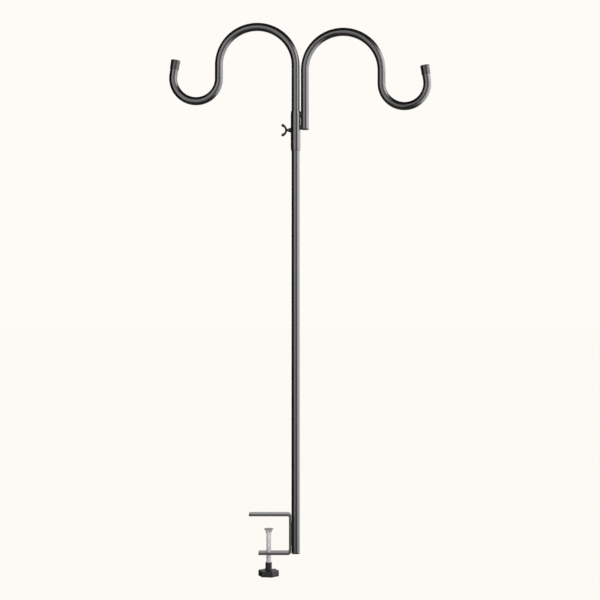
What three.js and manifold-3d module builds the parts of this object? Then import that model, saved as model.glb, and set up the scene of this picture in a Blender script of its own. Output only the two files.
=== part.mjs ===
// Hanging plant stand: a clamp-on steel pole with two crook hooks.
// Millimetres, +Z up. The origin is where the clamp screw's axis meets the upper jaw's underside.
// The post stands behind the clamp at +X. The main hook reaches to -X and the side hook to +X.
import * as THREE from 'three';
import { mergeVertices } from 'three/addons/utils/BufferGeometryUtils.js';
import Module from 'manifold-3d';

const wasm = await Module();
wasm.setup();

// ---- clearances ----
const SEAT_GAP = 0.3; // between pieces that touch or are welded
const TURN_GAP = 0.4; // round a piece that turns or slides inside another

// ---- tube stock ----
const TUBE_RADIUS = 7.94; // 5/8 in tube
const TUBE_WALL = 1.2;

// ---- post ----
const POST_LENGTH = 835.6; // from the lower jaw's underside to the joint with the main hook

// ---- coupling sleeve and the spigot inside the joint ----
const SLEEVE_WALL = 1.2;
const SLEEVE_LENGTH = 76.2;
const SLEEVE_ON_ARM = 14.4; // how far the sleeve reaches up over the main hook's leg
const SLEEVE_EASE = 1.6; // length of the taper at each end
const SPIGOT_LENGTH = 76;
const SPIGOT_WALL = 1.5;

// ---- hooks ----
const ARM_RADIUS = 73.6; // centreline of the big arc
const ARM_DROP = 25; // straight stretch between the two arcs
const HOOK_RADIUS = 43.9; // centreline of the hook itself
const TIP_LEAN = 9; // degrees that the tip leans back over the hook
const TIP_STRAIGHT = 26.5;
const MAIN_LEG = 102.5; // from the joint up to the big arc
const SIDE_LEG = 114.8; // from the side leg's lower end up to its big arc
const SIDE_LEG_LAP = 36.4; // how far the side leg reaches down past the sleeve's top

// ---- tip caps and tube plugs ----
const CAP_LENGTH = 18;
const CAP_WALL = 0.8;
const CAP_TOP = 1.5;
const PLUG_FLANGE = 1.5;
const PLUG_DEPTH = 12;

// ---- clamp bracket ----
const BAR_THICKNESS = 4.5;
const BAR_WIDTH = 29;
const BAR_CORNER = 3; // rounding of the jaws' free corners
const BEND_RADIUS = 2.5; // inside of each bend
const JAW_OPENING = 69.6;
const THROAT_DEPTH = 39; // from the screw's axis to the back plate
const UPPER_JAW_REACH = 37.6; // from the screw's axis to the upper jaw's tip
const LOWER_JAW_REACH = 19.4;

// ---- clamp screw and its swivel pad ----
const SCREW_RADIUS = 4.85; // M10
const SCREW_CHAMFER = 0.8;
const PAD_DROP = 25.3; // from the upper jaw down to the pad's face
const PAD_RADIUS = 8.8;
const PAD_RIM = 1.4;
const PAD_HEIGHT = 9.4;
const PAD_NECK_RADIUS = 5.4;
const PAD_ROOF = 1.8; // metal between the ball and the pad's face
const BALL_RADIUS = 3.7;
const BALL_NECK_RADIUS = 2.6;

// ---- hand knob ----
const KNOB_TRAVEL = 15.9; // from the lower jaw's underside down to the knob
const KNOB_NECK_RADIUS = 6.25;
const KNOB_NECK_HEIGHT = 15;
const KNOB_SHOULDER_RADIUS = 13;
const KNOB_SHOULDER_HEIGHT = 1.4;
const KNOB_BODY_HEIGHT = 11.5;
const KNOB_CORNER_REACH = 20.1; // from the axis to a corner
const KNOB_CORNER_RADIUS = 2.2;
const KNOB_CORNERS = 6;
const KNOB_TURN = -71; // degrees, where the corner nearest the front lies
const KNOB_FACE_DIP = 0.7; // how far the middle of each face is drawn in
const KNOB_EDGE = 0.9;
const KNOB_FLOOR = 2.2; // plastic under the screw's end
const INSERT_ACROSS_CORNERS = 18.4;
const INSERT_HEIGHT = 6.5;

// ---- wing screw ----
const WING_SCREW_DROP = 36.8; // from the sleeve's top down to the screw's axis
const WING_SHANK_RADIUS = 2.4; // M5
const WING_STUB_RADIUS = 1.5; // the shank's end inside the hub
const WING_STUB_LENGTH = 2.6;
const BOSS_BASE_RADIUS = 4.4;
const BOSS_TIP_RADIUS = 3.5;
const BOSS_LENGTH = 4.2;
const WING_HUB_RADIUS = 2.9;
const WING_HUB_LENGTH = 6.2;
const WING_ROOT_RADIUS = 2.1;
const WING_TIP_RADIUS = 2.7;
const WING_TIP_SPREAD = 9.1; // from the screw's axis to the middle of a wing's tip
const WING_TIP_REACH = 6.3; // from the middle of the root to the middle of the tip, along the axis
const WING_THICKNESS = 3.2;
const WING_EDGE = 0.6;

// ---- weld beads ----
const BRACKET_WELD_RADIUS = 1.2;
const BRACKET_WELD_LENGTH = 44;
const SIDE_WELD_RADIUS = 2.2;
const SIDE_WELD_UPPER_LENGTH = 10.5;
const SIDE_WELD_LOWER_LENGTH = 7;
const SIDE_WELD_INSET = 4.7; // from the leg's centre plane to a bead's middle

// ---- how finely round shapes are cut ----
const ROUND_SIDES = 32; // straight tubes, sleeve and what fits them
const HOOK_SIDES = 16; // bent tubes and what fits them
const SMALL_SIDES = 20; // screws, pad, boss and hub
const HOOK_STEPS = 60; // along each bent tube
const BEND_STEPS = 5;
const FLARE_STEPS = 5;
const BALL_STEPS = 6;

// ---- what follows from the sizes above ----
const TUBE_BORE = TUBE_RADIUS - TUBE_WALL;
const LOWER_JAW_TOP = -JAW_OPENING;
const LOWER_JAW_BOTTOM = LOWER_JAW_TOP - BAR_THICKNESS;
const PLATE_FACE_X = THROAT_DEPTH + BAR_THICKNESS;
const POST_X = PLATE_FACE_X + SEAT_GAP + TUBE_RADIUS;
const POST_FOOT = LOWER_JAW_BOTTOM;
const POST_TUBE_BOTTOM = POST_FOOT + PLUG_FLANGE + SEAT_GAP;
const POST_TOP = POST_FOOT + POST_LENGTH;
const SLEEVE_BORE = TUBE_RADIUS + TURN_GAP;
const SLEEVE_RADIUS = SLEEVE_BORE + SLEEVE_WALL;
const SLEEVE_TOP = POST_TOP + SEAT_GAP + SLEEVE_ON_ARM;
const SLEEVE_BOTTOM = SLEEVE_TOP - SLEEVE_LENGTH;
const SPIGOT_RADIUS = TUBE_BORE * Math.cos(Math.PI / HOOK_SIDES) - SEAT_GAP; // clears the bore's flats
const SIDE_LEG_X = SLEEVE_RADIUS + SEAT_GAP + TUBE_RADIUS; // from the post's axis
const SIDE_LEG_BOTTOM = SLEEVE_TOP - SIDE_LEG_LAP;
const WING_SCREW_Z = SLEEVE_TOP - WING_SCREW_DROP;
const BOSS_TIP = SLEEVE_RADIUS + SEAT_GAP + BOSS_LENGTH; // from the post's axis
const WING_HUB_START = BOSS_TIP + TURN_GAP;
const PAD_FACE = -PAD_DROP;
const PAD_BOTTOM = PAD_FACE - PAD_HEIGHT;
const KNOB_TOP = LOWER_JAW_BOTTOM - KNOB_TRAVEL;
const KNOB_BODY_TOP = KNOB_TOP - KNOB_NECK_HEIGHT;
const KNOB_BOTTOM = KNOB_BODY_TOP - KNOB_BODY_HEIGHT;
const KNOB_POCKET_BOTTOM = KNOB_BOTTOM + KNOB_FLOOR;
const SCREW_END = KNOB_POCKET_BOTTOM + SEAT_GAP;

// ---- finishes ----
const FINISHES = {
  powder_coat: { color: 0x1d1c1b, roughness: 0.3, metalness: 0 },
  zinc: { color: 0xb2b1ad, roughness: 0.3, metalness: 1 },
  black_plastic: { color: 0x151515, roughness: 0.5, metalness: 0 },
  black_vinyl: { color: 0x1f1d1b, roughness: 0.55, metalness: 0 },
};

function piece(name, geometry, finish) {
  const mesh = new THREE.Mesh(geometry, new THREE.MeshStandardMaterial(FINISHES[finish]));
  mesh.name = name;
  return mesh;
}

function groupOf(...pieces) {
  const group = new THREE.Group();
  group.add(...pieces);
  return group;
}

// ---- cutting and joining closed meshes ----
function toSolid(geometry) {
  const bare = geometry.clone();
  bare.deleteAttribute('normal');
  bare.deleteAttribute('uv');
  const merged = mergeVertices(bare, 1e-4);
  const corners = Array.from(merged.index.array);
  const triangles = [];
  for (let i = 0; i < corners.length; i += 3) {
    const [a, b, c] = corners.slice(i, i + 3);
    if (a !== b && b !== c && c !== a) {
      triangles.push(a, b, c);
    }
  }
  return new wasm.Manifold(new wasm.Mesh({
    numProp: 3,
    vertProperties: Float32Array.from(merged.attributes.position.array),
    triVerts: Uint32Array.from(triangles),
  }));
}

function toGeometry(solid) {
  const mesh = solid.getMesh();
  const geometry = new THREE.BufferGeometry();
  geometry.setAttribute('position', new THREE.BufferAttribute(mesh.vertProperties, 3));
  geometry.setIndex(new THREE.BufferAttribute(mesh.triVerts, 1));
  geometry.computeVertexNormals();
  return geometry;
}

// ---- outlines and the solids they make ----
function roundPoints(radius, sides) {
  const points = [];
  for (let i = 0; i < sides; i += 1) {
    const angle = (i / sides) * 2 * Math.PI;
    points.push(new THREE.Vector2(radius * Math.cos(angle), radius * Math.sin(angle)));
  }
  return points;
}

function discShape(radius, sides) {
  return new THREE.Shape(roundPoints(radius, sides));
}

function ringShape(radius, bore, sides) {
  const shape = discShape(radius, sides);
  shape.holes.push(new THREE.Path(roundPoints(bore, sides)));
  return shape;
}

// A flat outline pushed up from z = bottom to z = top.
function prism(shape, bottom, top) {
  const geometry = new THREE.ExtrudeGeometry(shape, { depth: top - bottom, bevelEnabled: false });
  return geometry.translate(0, 0, bottom);
}

// A piece turned about Z from [radius, z] points, given up the outside and down the inside.
function turned(outline, sides) {
  const points = outline.map(([radius, z]) => new THREE.Vector2(radius, z));
  return new THREE.LatheGeometry(points, sides).rotateX(Math.PI / 2);
}

// ---- bent tubes ----
// An arc in the XZ plane, between two angles in degrees.
class PlaneArc extends THREE.Curve {
  constructor(centreX, centreZ, radius, from, to) {
    super();
    Object.assign(this, { centreX, centreZ, radius, from, to });
  }

  getPoint(t) {
    const angle = THREE.MathUtils.degToRad(this.from + (this.to - this.from) * t);
    const x = this.centreX + this.radius * Math.cos(angle);
    const z = this.centreZ + this.radius * Math.sin(angle);
    return new THREE.Vector3(x, 0, z);
  }
}

// The crook's centreline rises from the origin, bows over towards +X and ends in the hook.
function crookPath(leg) {
  const outer = 2 * ARM_RADIUS;
  const hook = new PlaneArc(outer + HOOK_RADIUS, leg - ARM_DROP, HOOK_RADIUS, 180, 360 + TIP_LEAN);
  const tipStart = hook.getPoint(1);
  const lean = THREE.MathUtils.degToRad(TIP_LEAN);
  const tipEnd = new THREE.Vector3(-Math.sin(lean), 0, Math.cos(lean));
  tipEnd.multiplyScalar(TIP_STRAIGHT).add(tipStart);
  const path = new THREE.CurvePath();
  path.add(new THREE.LineCurve3(new THREE.Vector3(0, 0, 0), new THREE.Vector3(0, 0, leg)));
  path.add(new PlaneArc(ARM_RADIUS, leg, ARM_RADIUS, 180, 0));
  path.add(new THREE.LineCurve3(
    new THREE.Vector3(outer, 0, leg),
    new THREE.Vector3(outer, 0, leg - ARM_DROP),
  ));
  path.add(hook);
  path.add(new THREE.LineCurve3(tipStart, tipEnd));
  return path;
}

// A thin cap slipped over a tube's end. Its origin is the tube's end and +Z points out of the tube.
function tipCapGeometry() {
  const bore = TUBE_RADIUS + SEAT_GAP;
  const outside = bore + CAP_WALL;
  const top = SEAT_GAP + CAP_TOP;
  const shoulder = CAP_TOP * 0.3;
  return turned([
    [0, SEAT_GAP],
    [bore, SEAT_GAP],
    [bore, top - CAP_LENGTH],
    [outside, top - CAP_LENGTH],
    [outside, top - CAP_TOP],
    [outside - shoulder, top - shoulder],
    [outside - CAP_TOP, top],
    [0, top],
  ], HOOK_SIDES);
}

// A plug for a tube's lower end. Its origin is the tube's end and +Z points into the tube.
function plugGeometry(sides) {
  const stem = TUBE_BORE - SEAT_GAP;
  const underside = -SEAT_GAP - PLUG_FLANGE;
  return turned([
    [0, underside],
    [TUBE_RADIUS - PLUG_FLANGE / 2, underside],
    [TUBE_RADIUS, underside + PLUG_FLANGE / 2],
    [TUBE_RADIUS, -SEAT_GAP],
    [stem, -SEAT_GAP],
    [stem, PLUG_DEPTH],
    [0, PLUG_DEPTH],
  ], sides);
}

// One crook with its tip cap. The leg's lower end is the group's origin.
function crook(name, leg) {
  const path = crookPath(leg);
  const tube = new THREE.ExtrudeGeometry(ringShape(TUBE_RADIUS, TUBE_BORE, HOOK_SIDES), {
    steps: HOOK_STEPS,
    extrudePath: path,
  });
  const cap = piece(`${name}_tip_cap`, tipCapGeometry(), 'black_vinyl');
  cap.position.copy(path.getPoint(1));
  cap.rotation.y = -THREE.MathUtils.degToRad(TIP_LEAN);
  return groupOf(piece(`${name}_tube`, tube, 'powder_coat'), cap);
}

// ---- weld beads ----
// The room that an upright round piece takes, with the seat gap round it.
function roundRoom(radius, x, bottom, top) {
  return prism(discShape(radius + SEAT_GAP, ROUND_SIDES), bottom, top).translate(x, 0, 0);
}

// An upright bead with round ends, cut back from the pieces it joins.
function weldBead(name, radius, length, place, neighbours) {
  const bead = new THREE.CapsuleGeometry(radius, length - 2 * radius, 4, 10, 1);
  bead.rotateX(Math.PI / 2).translate(...place);
  const cut = neighbours.reduce((solid, room) => solid.subtract(toSolid(room)), toSolid(bead));
  return piece(name, toGeometry(cut), 'powder_coat');
}

// ---- post, about its own axis ----
function postTube() {
  const ring = ringShape(TUBE_RADIUS, TUBE_BORE, ROUND_SIDES);
  return piece('post_tube', prism(ring, POST_TUBE_BOTTOM, POST_TOP), 'powder_coat');
}

function postFootPlug() {
  const plug = piece('post_foot_plug', plugGeometry(ROUND_SIDES), 'black_plastic');
  plug.position.z = POST_TUBE_BOTTOM;
  return plug;
}

function bracketWelds() {
  const plate = new THREE.BoxGeometry(BAR_THICKNESS, BAR_WIDTH, JAW_OPENING);
  plate.translate(-TUBE_RADIUS - BAR_THICKNESS / 2, 0, LOWER_JAW_TOP / 2);
  const post = roundRoom(TUBE_RADIUS, 0, LOWER_JAW_TOP, 0);
  const radius = BRACKET_WELD_RADIUS;
  const length = BRACKET_WELD_LENGTH;
  const x = -TUBE_RADIUS + radius / 2;
  const y = Math.sqrt((TUBE_RADIUS + SEAT_GAP + radius / 2) ** 2 - x ** 2);
  const z = LOWER_JAW_TOP / 2;
  return [
    weldBead('bracket_weld_front', radius, length, [x, -y, z], [plate, post]),
    weldBead('bracket_weld_back', radius, length, [x, y, z], [plate, post]),
  ];
}

// ---- clamp bracket, one flat bar bent twice ----
// The bar's edge in the XZ plane: upper jaw, back plate, lower jaw.
function barEdge() {
  const inner = BEND_RADIUS;
  const outer = BEND_RADIUS + BAR_THICKNESS;
  const bendX = THROAT_DEPTH - BEND_RADIUS;
  const upperBendZ = -BEND_RADIUS;
  const lowerBendZ = LOWER_JAW_TOP + BEND_RADIUS;
  const shape = new THREE.Shape();
  shape.moveTo(-UPPER_JAW_REACH, BAR_THICKNESS);
  shape.lineTo(-UPPER_JAW_REACH, 0);
  shape.absarc(bendX, upperBendZ, inner, Math.PI / 2, 0, true);
  shape.absarc(bendX, lowerBendZ, inner, 0, -Math.PI / 2, true);
  shape.lineTo(-LOWER_JAW_REACH, LOWER_JAW_TOP);
  shape.lineTo(-LOWER_JAW_REACH, LOWER_JAW_BOTTOM);
  shape.absarc(bendX, lowerBendZ, outer, -Math.PI / 2, 0, false);
  shape.absarc(bendX, upperBendZ, outer, 0, Math.PI / 2, false);
  return shape;
}

// A jaw seen from above, square at the plate and rounded at its free corners.
function jawPlan(reach) {
  const half = BAR_WIDTH / 2;
  const cornerX = BAR_CORNER - reach;
  const cornerY = half - BAR_CORNER;
  const shape = new THREE.Shape();
  shape.moveTo(PLATE_FACE_X + BAR_THICKNESS, -half);
  shape.lineTo(PLATE_FACE_X + BAR_THICKNESS, half);
  shape.absarc(cornerX, cornerY, BAR_CORNER, Math.PI / 2, Math.PI, false);
  shape.absarc(cornerX, -cornerY, BAR_CORNER, Math.PI, 1.5 * Math.PI, false);
  return shape;
}

function clampBracket() {
  const bent = new THREE.ExtrudeGeometry(barEdge(), {
    depth: BAR_WIDTH,
    bevelEnabled: false,
    curveSegments: BEND_STEPS,
  });
  bent.rotateX(Math.PI / 2).translate(0, BAR_WIDTH / 2, 0);
  const above = 2 * BAR_THICKNESS;
  const middle = LOWER_JAW_TOP / 2;
  const below = LOWER_JAW_BOTTOM - BAR_THICKNESS;
  const upperPlan = toSolid(prism(jawPlan(UPPER_JAW_REACH), middle, above));
  const lowerPlan = toSolid(prism(jawPlan(LOWER_JAW_REACH), below, middle));
  const hole = toSolid(prism(discShape(SCREW_RADIUS + TURN_GAP, SMALL_SIDES), below, middle));
  const trimmed = toSolid(bent).intersect(upperPlan.add(lowerPlan)).subtract(hole);
  return piece('clamp_bracket', toGeometry(trimmed), 'powder_coat');
}

// ---- coupling sleeve and the joint inside it, about the post's axis ----
function couplingSleeve() {
  const eased = SLEEVE_RADIUS - SLEEVE_WALL / 2;
  const tube = toSolid(turned([
    [SLEEVE_BORE, SLEEVE_BOTTOM],
    [eased, SLEEVE_BOTTOM],
    [SLEEVE_RADIUS, SLEEVE_BOTTOM + SLEEVE_EASE],
    [SLEEVE_RADIUS, SLEEVE_TOP - SLEEVE_EASE],
    [eased, SLEEVE_TOP],
    [SLEEVE_BORE, SLEEVE_TOP],
    [SLEEVE_BORE, SLEEVE_BOTTOM],
  ], ROUND_SIDES));
  const drill = prism(discShape(WING_SHANK_RADIUS + TURN_GAP, SMALL_SIDES), 0, 2 * SLEEVE_RADIUS);
  drill.rotateY(-Math.PI / 2).translate(0, 0, WING_SCREW_Z);
  return piece('coupling_sleeve', toGeometry(tube.subtract(toSolid(drill))), 'powder_coat');
}

function jointSpigot() {
  const ring = ringShape(SPIGOT_RADIUS, SPIGOT_RADIUS - SPIGOT_WALL, ROUND_SIDES);
  const bottom = POST_TOP - SPIGOT_LENGTH / 2;
  return piece('joint_spigot', prism(ring, bottom, bottom + SPIGOT_LENGTH), 'zinc');
}

function sideHookWelds() {
  const sleeve = roundRoom(SLEEVE_RADIUS, 0, SLEEVE_BOTTOM, SLEEVE_TOP + SLEEVE_LENGTH);
  const leg = roundRoom(TUBE_RADIUS, SIDE_LEG_X, SLEEVE_BOTTOM, SLEEVE_TOP + SLEEVE_LENGTH);
  const radius = SIDE_WELD_RADIUS;
  const x = SLEEVE_RADIUS + SEAT_GAP / 2;
  const y = SIDE_WELD_INSET;
  const upper = SIDE_WELD_UPPER_LENGTH;
  const lower = SIDE_WELD_LOWER_LENGTH;
  const upperZ = SLEEVE_TOP - SLEEVE_EASE - upper / 2;
  const lowerZ = SIDE_LEG_BOTTOM + PLUG_FLANGE + lower / 2;
  return [
    weldBead('side_hook_weld_upper_front', radius, upper, [x, -y, upperZ], [sleeve, leg]),
    weldBead('side_hook_weld_upper_back', radius, upper, [x, y, upperZ], [sleeve, leg]),
    weldBead('side_hook_weld_lower_front', radius, lower, [x, -y, lowerZ], [sleeve, leg]),
    weldBead('side_hook_weld_lower_back', radius, lower, [x, y, lowerZ], [sleeve, leg]),
  ];
}

function mainHook() {
  const hook = crook('main_hook', MAIN_LEG - SEAT_GAP);
  hook.position.z = POST_TOP + SEAT_GAP;
  hook.rotation.z = Math.PI;
  return hook;
}

function sideHook() {
  const hook = crook('side_hook', SIDE_LEG - PLUG_FLANGE - SEAT_GAP);
  hook.add(piece('side_hook_foot_plug', plugGeometry(HOOK_SIDES), 'black_plastic'));
  hook.position.set(SIDE_LEG_X, 0, SIDE_LEG_BOTTOM + PLUG_FLANGE + SEAT_GAP);
  return hook;
}

// ---- wing screw: +Z is its axis, out of the sleeve, and z = 0 is the post's axis ----
function wingScrewBoss() {
  const bore = WING_SHANK_RADIUS + TURN_GAP;
  const blank = turned([
    [bore, SLEEVE_BORE],
    [BOSS_BASE_RADIUS, SLEEVE_BORE],
    [BOSS_BASE_RADIUS, SLEEVE_RADIUS + SEAT_GAP],
    [BOSS_TIP_RADIUS, BOSS_TIP],
    [bore, BOSS_TIP],
    [bore, SLEEVE_BORE],
  ], SMALL_SIDES);
  const sleeve = roundRoom(SLEEVE_RADIUS, 0, -SLEEVE_RADIUS, SLEEVE_RADIUS).rotateY(Math.PI / 2);
  const saddle = toSolid(blank).subtract(toSolid(sleeve));
  return piece('wing_screw_boss', toGeometry(saddle), 'powder_coat');
}

function wingScrewShank() {
  const tip = TUBE_RADIUS + SEAT_GAP;
  const chamfer = WING_SHANK_RADIUS * 0.2;
  const shoulder = WING_HUB_START - SEAT_GAP;
  return piece('wing_screw_shank', turned([
    [0, tip],
    [WING_SHANK_RADIUS - chamfer, tip],
    [WING_SHANK_RADIUS, tip + chamfer],
    [WING_SHANK_RADIUS, shoulder],
    [WING_STUB_RADIUS, shoulder],
    [WING_STUB_RADIUS, shoulder + WING_STUB_LENGTH],
    [0, shoulder + WING_STUB_LENGTH],
  ], SMALL_SIDES), 'powder_coat');
}

// One wing's outline, from the root in the hub to its round tip. Side is 1 or -1.
function wingShape(side) {
  const tipX = side * WING_TIP_SPREAD;
  const slope = Math.atan2(WING_TIP_REACH, tipX);
  const quarter = Math.PI / 2;
  const shape = new THREE.Shape();
  shape.absarc(0, 0, WING_ROOT_RADIUS - WING_EDGE, slope + quarter, slope + 3 * quarter, false);
  shape.absarc(tipX, WING_TIP_REACH, WING_TIP_RADIUS - WING_EDGE, slope - quarter, slope + quarter, false);
  return shape;
}

function wingSolid(side, rootZ) {
  const wing = new THREE.ExtrudeGeometry(wingShape(side), {
    depth: WING_THICKNESS - 2 * WING_EDGE,
    bevelThickness: WING_EDGE,
    bevelSize: WING_EDGE,
    bevelSegments: 2,
    curveSegments: 5,
  });
  wing.translate(0, 0, WING_EDGE - WING_THICKNESS / 2);
  return toSolid(wing.rotateX(Math.PI / 2).translate(0, 0, rootZ));
}

function wingScrewHead() {
  const end = WING_HUB_START + WING_HUB_LENGTH;
  const ease = WING_HUB_RADIUS * 0.3;
  const bore = WING_STUB_RADIUS + TURN_GAP;
  const roof = WING_HUB_START - SEAT_GAP + WING_STUB_LENGTH + SEAT_GAP;
  const hub = toSolid(turned([
    [0, WING_HUB_START],
    [WING_HUB_RADIUS - ease, WING_HUB_START],
    [WING_HUB_RADIUS, WING_HUB_START + ease],
    [WING_HUB_RADIUS, end - ease],
    [WING_HUB_RADIUS - ease, end],
    [0, end],
  ], SMALL_SIDES));
  const socket = toSolid(prism(discShape(bore, SMALL_SIDES), 0, roof));
  const rootZ = end - WING_ROOT_RADIUS;
  const head = hub.add(wingSolid(1, rootZ)).add(wingSolid(-1, rootZ)).subtract(socket);
  return piece('wing_screw_head', toGeometry(head), 'powder_coat');
}

function wingScrew() {
  const screw = groupOf(wingScrewBoss(), wingScrewShank(), wingScrewHead());
  screw.position.z = WING_SCREW_Z;
  screw.rotation.y = -Math.PI / 2;
  return screw;
}

// ---- clamp screw, pad and knob, about the screw's axis ----
function clampPad() {
  const roof = PAD_FACE - PAD_ROOF;
  const lip = ballCentre() - Math.sqrt(BALL_RADIUS ** 2 - padMouth() ** 2) - TURN_GAP;
  const cavity = BALL_RADIUS + TURN_GAP;
  const ease = PAD_RIM / 4;
  const flare = [];
  for (let i = 0; i <= FLARE_STEPS; i += 1) {
    const up = i / FLARE_STEPS;
    const radius = PAD_NECK_RADIUS + (PAD_RADIUS - ease - PAD_NECK_RADIUS) * up ** 3;
    flare.push([radius, PAD_BOTTOM + (PAD_HEIGHT - PAD_RIM) * up]);
  }
  return piece('clamp_pad', turned([
    [0, roof],
    [cavity - ease, roof],
    [cavity, roof - ease],
    [cavity, lip],
    [padMouth(), lip],
    [padMouth(), PAD_BOTTOM],
    ...flare,
    [PAD_RADIUS, PAD_FACE - PAD_RIM + ease],
    [PAD_RADIUS, PAD_FACE - ease],
    [PAD_RADIUS - ease, PAD_FACE],
    [0, PAD_FACE],
  ], SMALL_SIDES), 'zinc');
}

function padMouth() {
  return BALL_NECK_RADIUS + TURN_GAP;
}

function ballCentre() {
  return PAD_FACE - PAD_ROOF - SEAT_GAP - BALL_RADIUS;
}

function clampScrew() {
  const shoulder = PAD_BOTTOM - TURN_GAP;
  const from = -Math.acos(BALL_NECK_RADIUS / BALL_RADIUS);
  const ball = [];
  for (let i = 0; i <= BALL_STEPS; i += 1) {
    const angle = from + (Math.PI / 2 - from) * (i / BALL_STEPS);
    const radius = i === BALL_STEPS ? 0 : BALL_RADIUS * Math.cos(angle);
    ball.push([radius, ballCentre() + BALL_RADIUS * Math.sin(angle)]);
  }
  return piece('clamp_screw', turned([
    [0, SCREW_END],
    [SCREW_RADIUS - SCREW_CHAMFER, SCREW_END],
    [SCREW_RADIUS, SCREW_END + SCREW_CHAMFER],
    [SCREW_RADIUS, shoulder - SCREW_CHAMFER],
    [SCREW_RADIUS - SCREW_CHAMFER, shoulder],
    [BALL_NECK_RADIUS, shoulder],
    ...ball,
  ], SMALL_SIDES), 'zinc');
}

// The knob seen from above: round corners joined by faces that dip a little.
function knobShape() {
  const step = (2 * Math.PI) / KNOB_CORNERS;
  const reach = KNOB_CORNER_REACH - KNOB_CORNER_RADIUS;
  const control = KNOB_CORNER_REACH * Math.cos(step / 2) - 2 * KNOB_FACE_DIP;
  const turn = THREE.MathUtils.degToRad(KNOB_TURN);
  const shape = new THREE.Shape();
  for (let i = 0; i <= KNOB_CORNERS; i += 1) {
    const angle = turn + i * step;
    const x = reach * Math.cos(angle);
    const y = reach * Math.sin(angle);
    const startX = x + KNOB_CORNER_RADIUS * Math.cos(angle - step / 2);
    const startY = y + KNOB_CORNER_RADIUS * Math.sin(angle - step / 2);
    if (i === 0) {
      shape.moveTo(startX, startY);
    } else {
      const face = angle - step / 2;
      shape.quadraticCurveTo(control * Math.cos(face), control * Math.sin(face), startX, startY);
    }
    if (i < KNOB_CORNERS) {
      shape.absarc(x, y, KNOB_CORNER_RADIUS, angle - step / 2, angle + step / 2, false);
    }
  }
  return shape;
}

function clampKnob() {
  const body = new THREE.ExtrudeGeometry(knobShape(), {
    depth: KNOB_BODY_HEIGHT - 2 * KNOB_EDGE,
    bevelThickness: KNOB_EDGE,
    bevelSize: KNOB_EDGE,
    bevelOffset: -KNOB_EDGE,
    bevelSegments: 2,
    curveSegments: 3,
  });
  body.translate(0, 0, KNOB_BOTTOM + KNOB_EDGE);
  const neck = turned([
    [0, KNOB_BODY_TOP - KNOB_EDGE],
    [KNOB_SHOULDER_RADIUS, KNOB_BODY_TOP - KNOB_EDGE],
    [KNOB_SHOULDER_RADIUS, KNOB_BODY_TOP],
    [KNOB_NECK_RADIUS, KNOB_BODY_TOP + KNOB_SHOULDER_HEIGHT],
    [KNOB_NECK_RADIUS, KNOB_TOP - KNOB_EDGE / 2],
    [KNOB_NECK_RADIUS - KNOB_EDGE / 2, KNOB_TOP],
    [0, KNOB_TOP],
  ], SMALL_SIDES);
  const bore = prism(discShape(SCREW_RADIUS + SEAT_GAP, SMALL_SIDES), KNOB_POCKET_BOTTOM, 0);
  const pocketTop = SCREW_END + INSERT_HEIGHT + SEAT_GAP;
  const pocket = prism(insertShape(2 * SEAT_GAP), KNOB_POCKET_BOTTOM, pocketTop);
  const solid = toSolid(body).add(toSolid(neck)).subtract(toSolid(bore)).subtract(toSolid(pocket));
  return piece('clamp_knob', toGeometry(solid), 'black_plastic');
}

// The hexagon of the insert, or of its pocket when it is made larger across the corners.
function insertShape(larger) {
  return discShape(INSERT_ACROSS_CORNERS / 2 + larger, 6);
}

function knobInsert() {
  const shape = insertShape(0);
  shape.holes.push(new THREE.Path(roundPoints(SCREW_RADIUS + SEAT_GAP, SMALL_SIDES)));
  return piece('knob_insert', prism(shape, SCREW_END, SCREW_END + INSERT_HEIGHT), 'zinc');
}

// ---- the whole stand ----
const post = groupOf(postTube(), postFootPlug(), ...bracketWelds());
const head = groupOf(couplingSleeve(), jointSpigot(), mainHook(), sideHook(), wingScrew());
head.add(...sideHookWelds());
const pole = groupOf(post, head);
pole.position.x = POST_X;
const clamp = groupOf(clampBracket(), clampPad(), clampScrew(), clampKnob(), knobInsert());
const stand = groupOf(clamp, pole);

export default stand;
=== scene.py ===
# %% [markdown]
# # A clamp-on stand for hanging plants
#
# The real thing is a pole of black steel tube. A screw clamp at its foot grips a deck rail, and two
# crooks at its top carry flower baskets. A wing screw in the sleeve between them locks the swing of
# both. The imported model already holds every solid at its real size. This lesson lays a fine mesh over
# each of them, mixes the finishes that the maker would use, and lights the whole like a catalogue page.

import math

import bmesh
import bpy
from mathutils import Matrix, Vector, noise


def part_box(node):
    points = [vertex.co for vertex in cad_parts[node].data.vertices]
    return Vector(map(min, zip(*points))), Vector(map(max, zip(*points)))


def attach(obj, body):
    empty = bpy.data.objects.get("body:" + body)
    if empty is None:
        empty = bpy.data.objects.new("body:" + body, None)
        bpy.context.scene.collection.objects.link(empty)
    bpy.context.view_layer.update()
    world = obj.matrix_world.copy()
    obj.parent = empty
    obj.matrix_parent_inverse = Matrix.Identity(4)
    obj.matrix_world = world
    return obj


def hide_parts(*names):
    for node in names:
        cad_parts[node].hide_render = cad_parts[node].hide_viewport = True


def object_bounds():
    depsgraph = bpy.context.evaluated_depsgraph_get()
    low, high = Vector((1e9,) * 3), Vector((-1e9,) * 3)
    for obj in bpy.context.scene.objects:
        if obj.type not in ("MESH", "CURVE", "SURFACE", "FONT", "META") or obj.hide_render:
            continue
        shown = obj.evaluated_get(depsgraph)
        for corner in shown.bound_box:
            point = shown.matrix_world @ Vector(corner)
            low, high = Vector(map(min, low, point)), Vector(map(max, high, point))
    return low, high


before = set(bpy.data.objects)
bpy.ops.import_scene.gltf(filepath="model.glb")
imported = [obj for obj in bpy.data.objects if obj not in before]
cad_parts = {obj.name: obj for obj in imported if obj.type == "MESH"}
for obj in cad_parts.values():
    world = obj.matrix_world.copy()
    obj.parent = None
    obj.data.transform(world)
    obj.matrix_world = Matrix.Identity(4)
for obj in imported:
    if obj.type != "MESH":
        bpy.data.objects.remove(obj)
cad_low, cad_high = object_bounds()
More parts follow.
